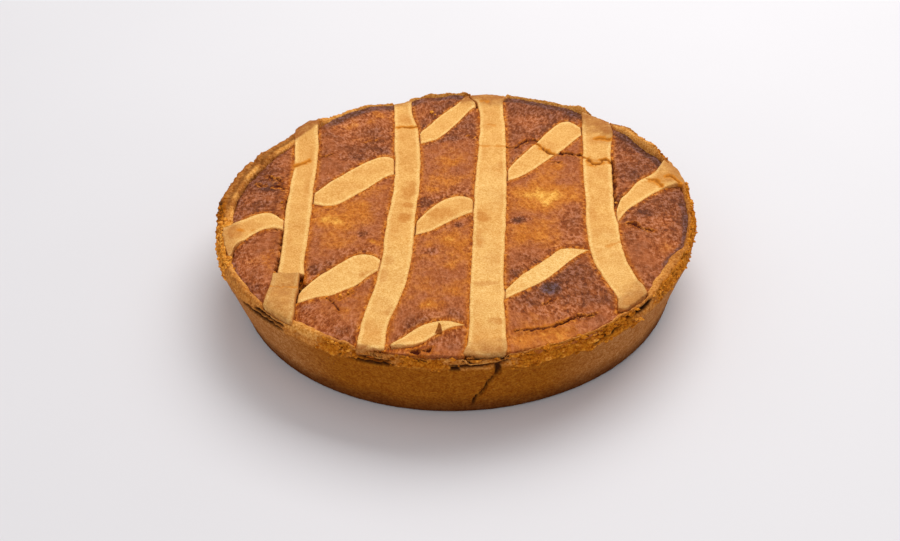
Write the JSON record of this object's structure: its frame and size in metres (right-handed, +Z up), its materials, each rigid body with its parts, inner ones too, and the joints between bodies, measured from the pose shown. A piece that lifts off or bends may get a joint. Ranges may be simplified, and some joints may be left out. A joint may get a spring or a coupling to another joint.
{
  "type": "pastiera tart",
  "caption": "Round flat wheat and ricotta tart baked in a flared tin, with a shortcrust shell, a browned set filling and slanting strips of pastry laid over it.",
  "frame": {"origin": "middle of the flat base, on the surface the tart stands on", "axes": "+Z up, through the middle of the tart; the long strips run roughly along Y, and the side with the crack in its wall faces -Y"},
  "size_m": [0.2295, 0.2296, 0.0403],
  "materials": {
    "crust_pastry": "browned shortcrust, matt and slightly crumbly",
    "filling": "browned set filling, mottled, with a soft sheen",
    "strip_pastry": "pale golden shortcrust, matt and fine grained"
  },
  "bodies": {
    "root": {"crust": "crust_pastry", "filling": "filling", "long_strip_1": "strip_pastry", "long_strip_2": "strip_pastry", "long_strip_3": "strip_pastry", "long_strip_4": "strip_pastry", "cross_strip_1": "strip_pastry", "cross_strip_2": "strip_pastry", "cross_strip_3": "strip_pastry"}
  },
  "joints": []
}
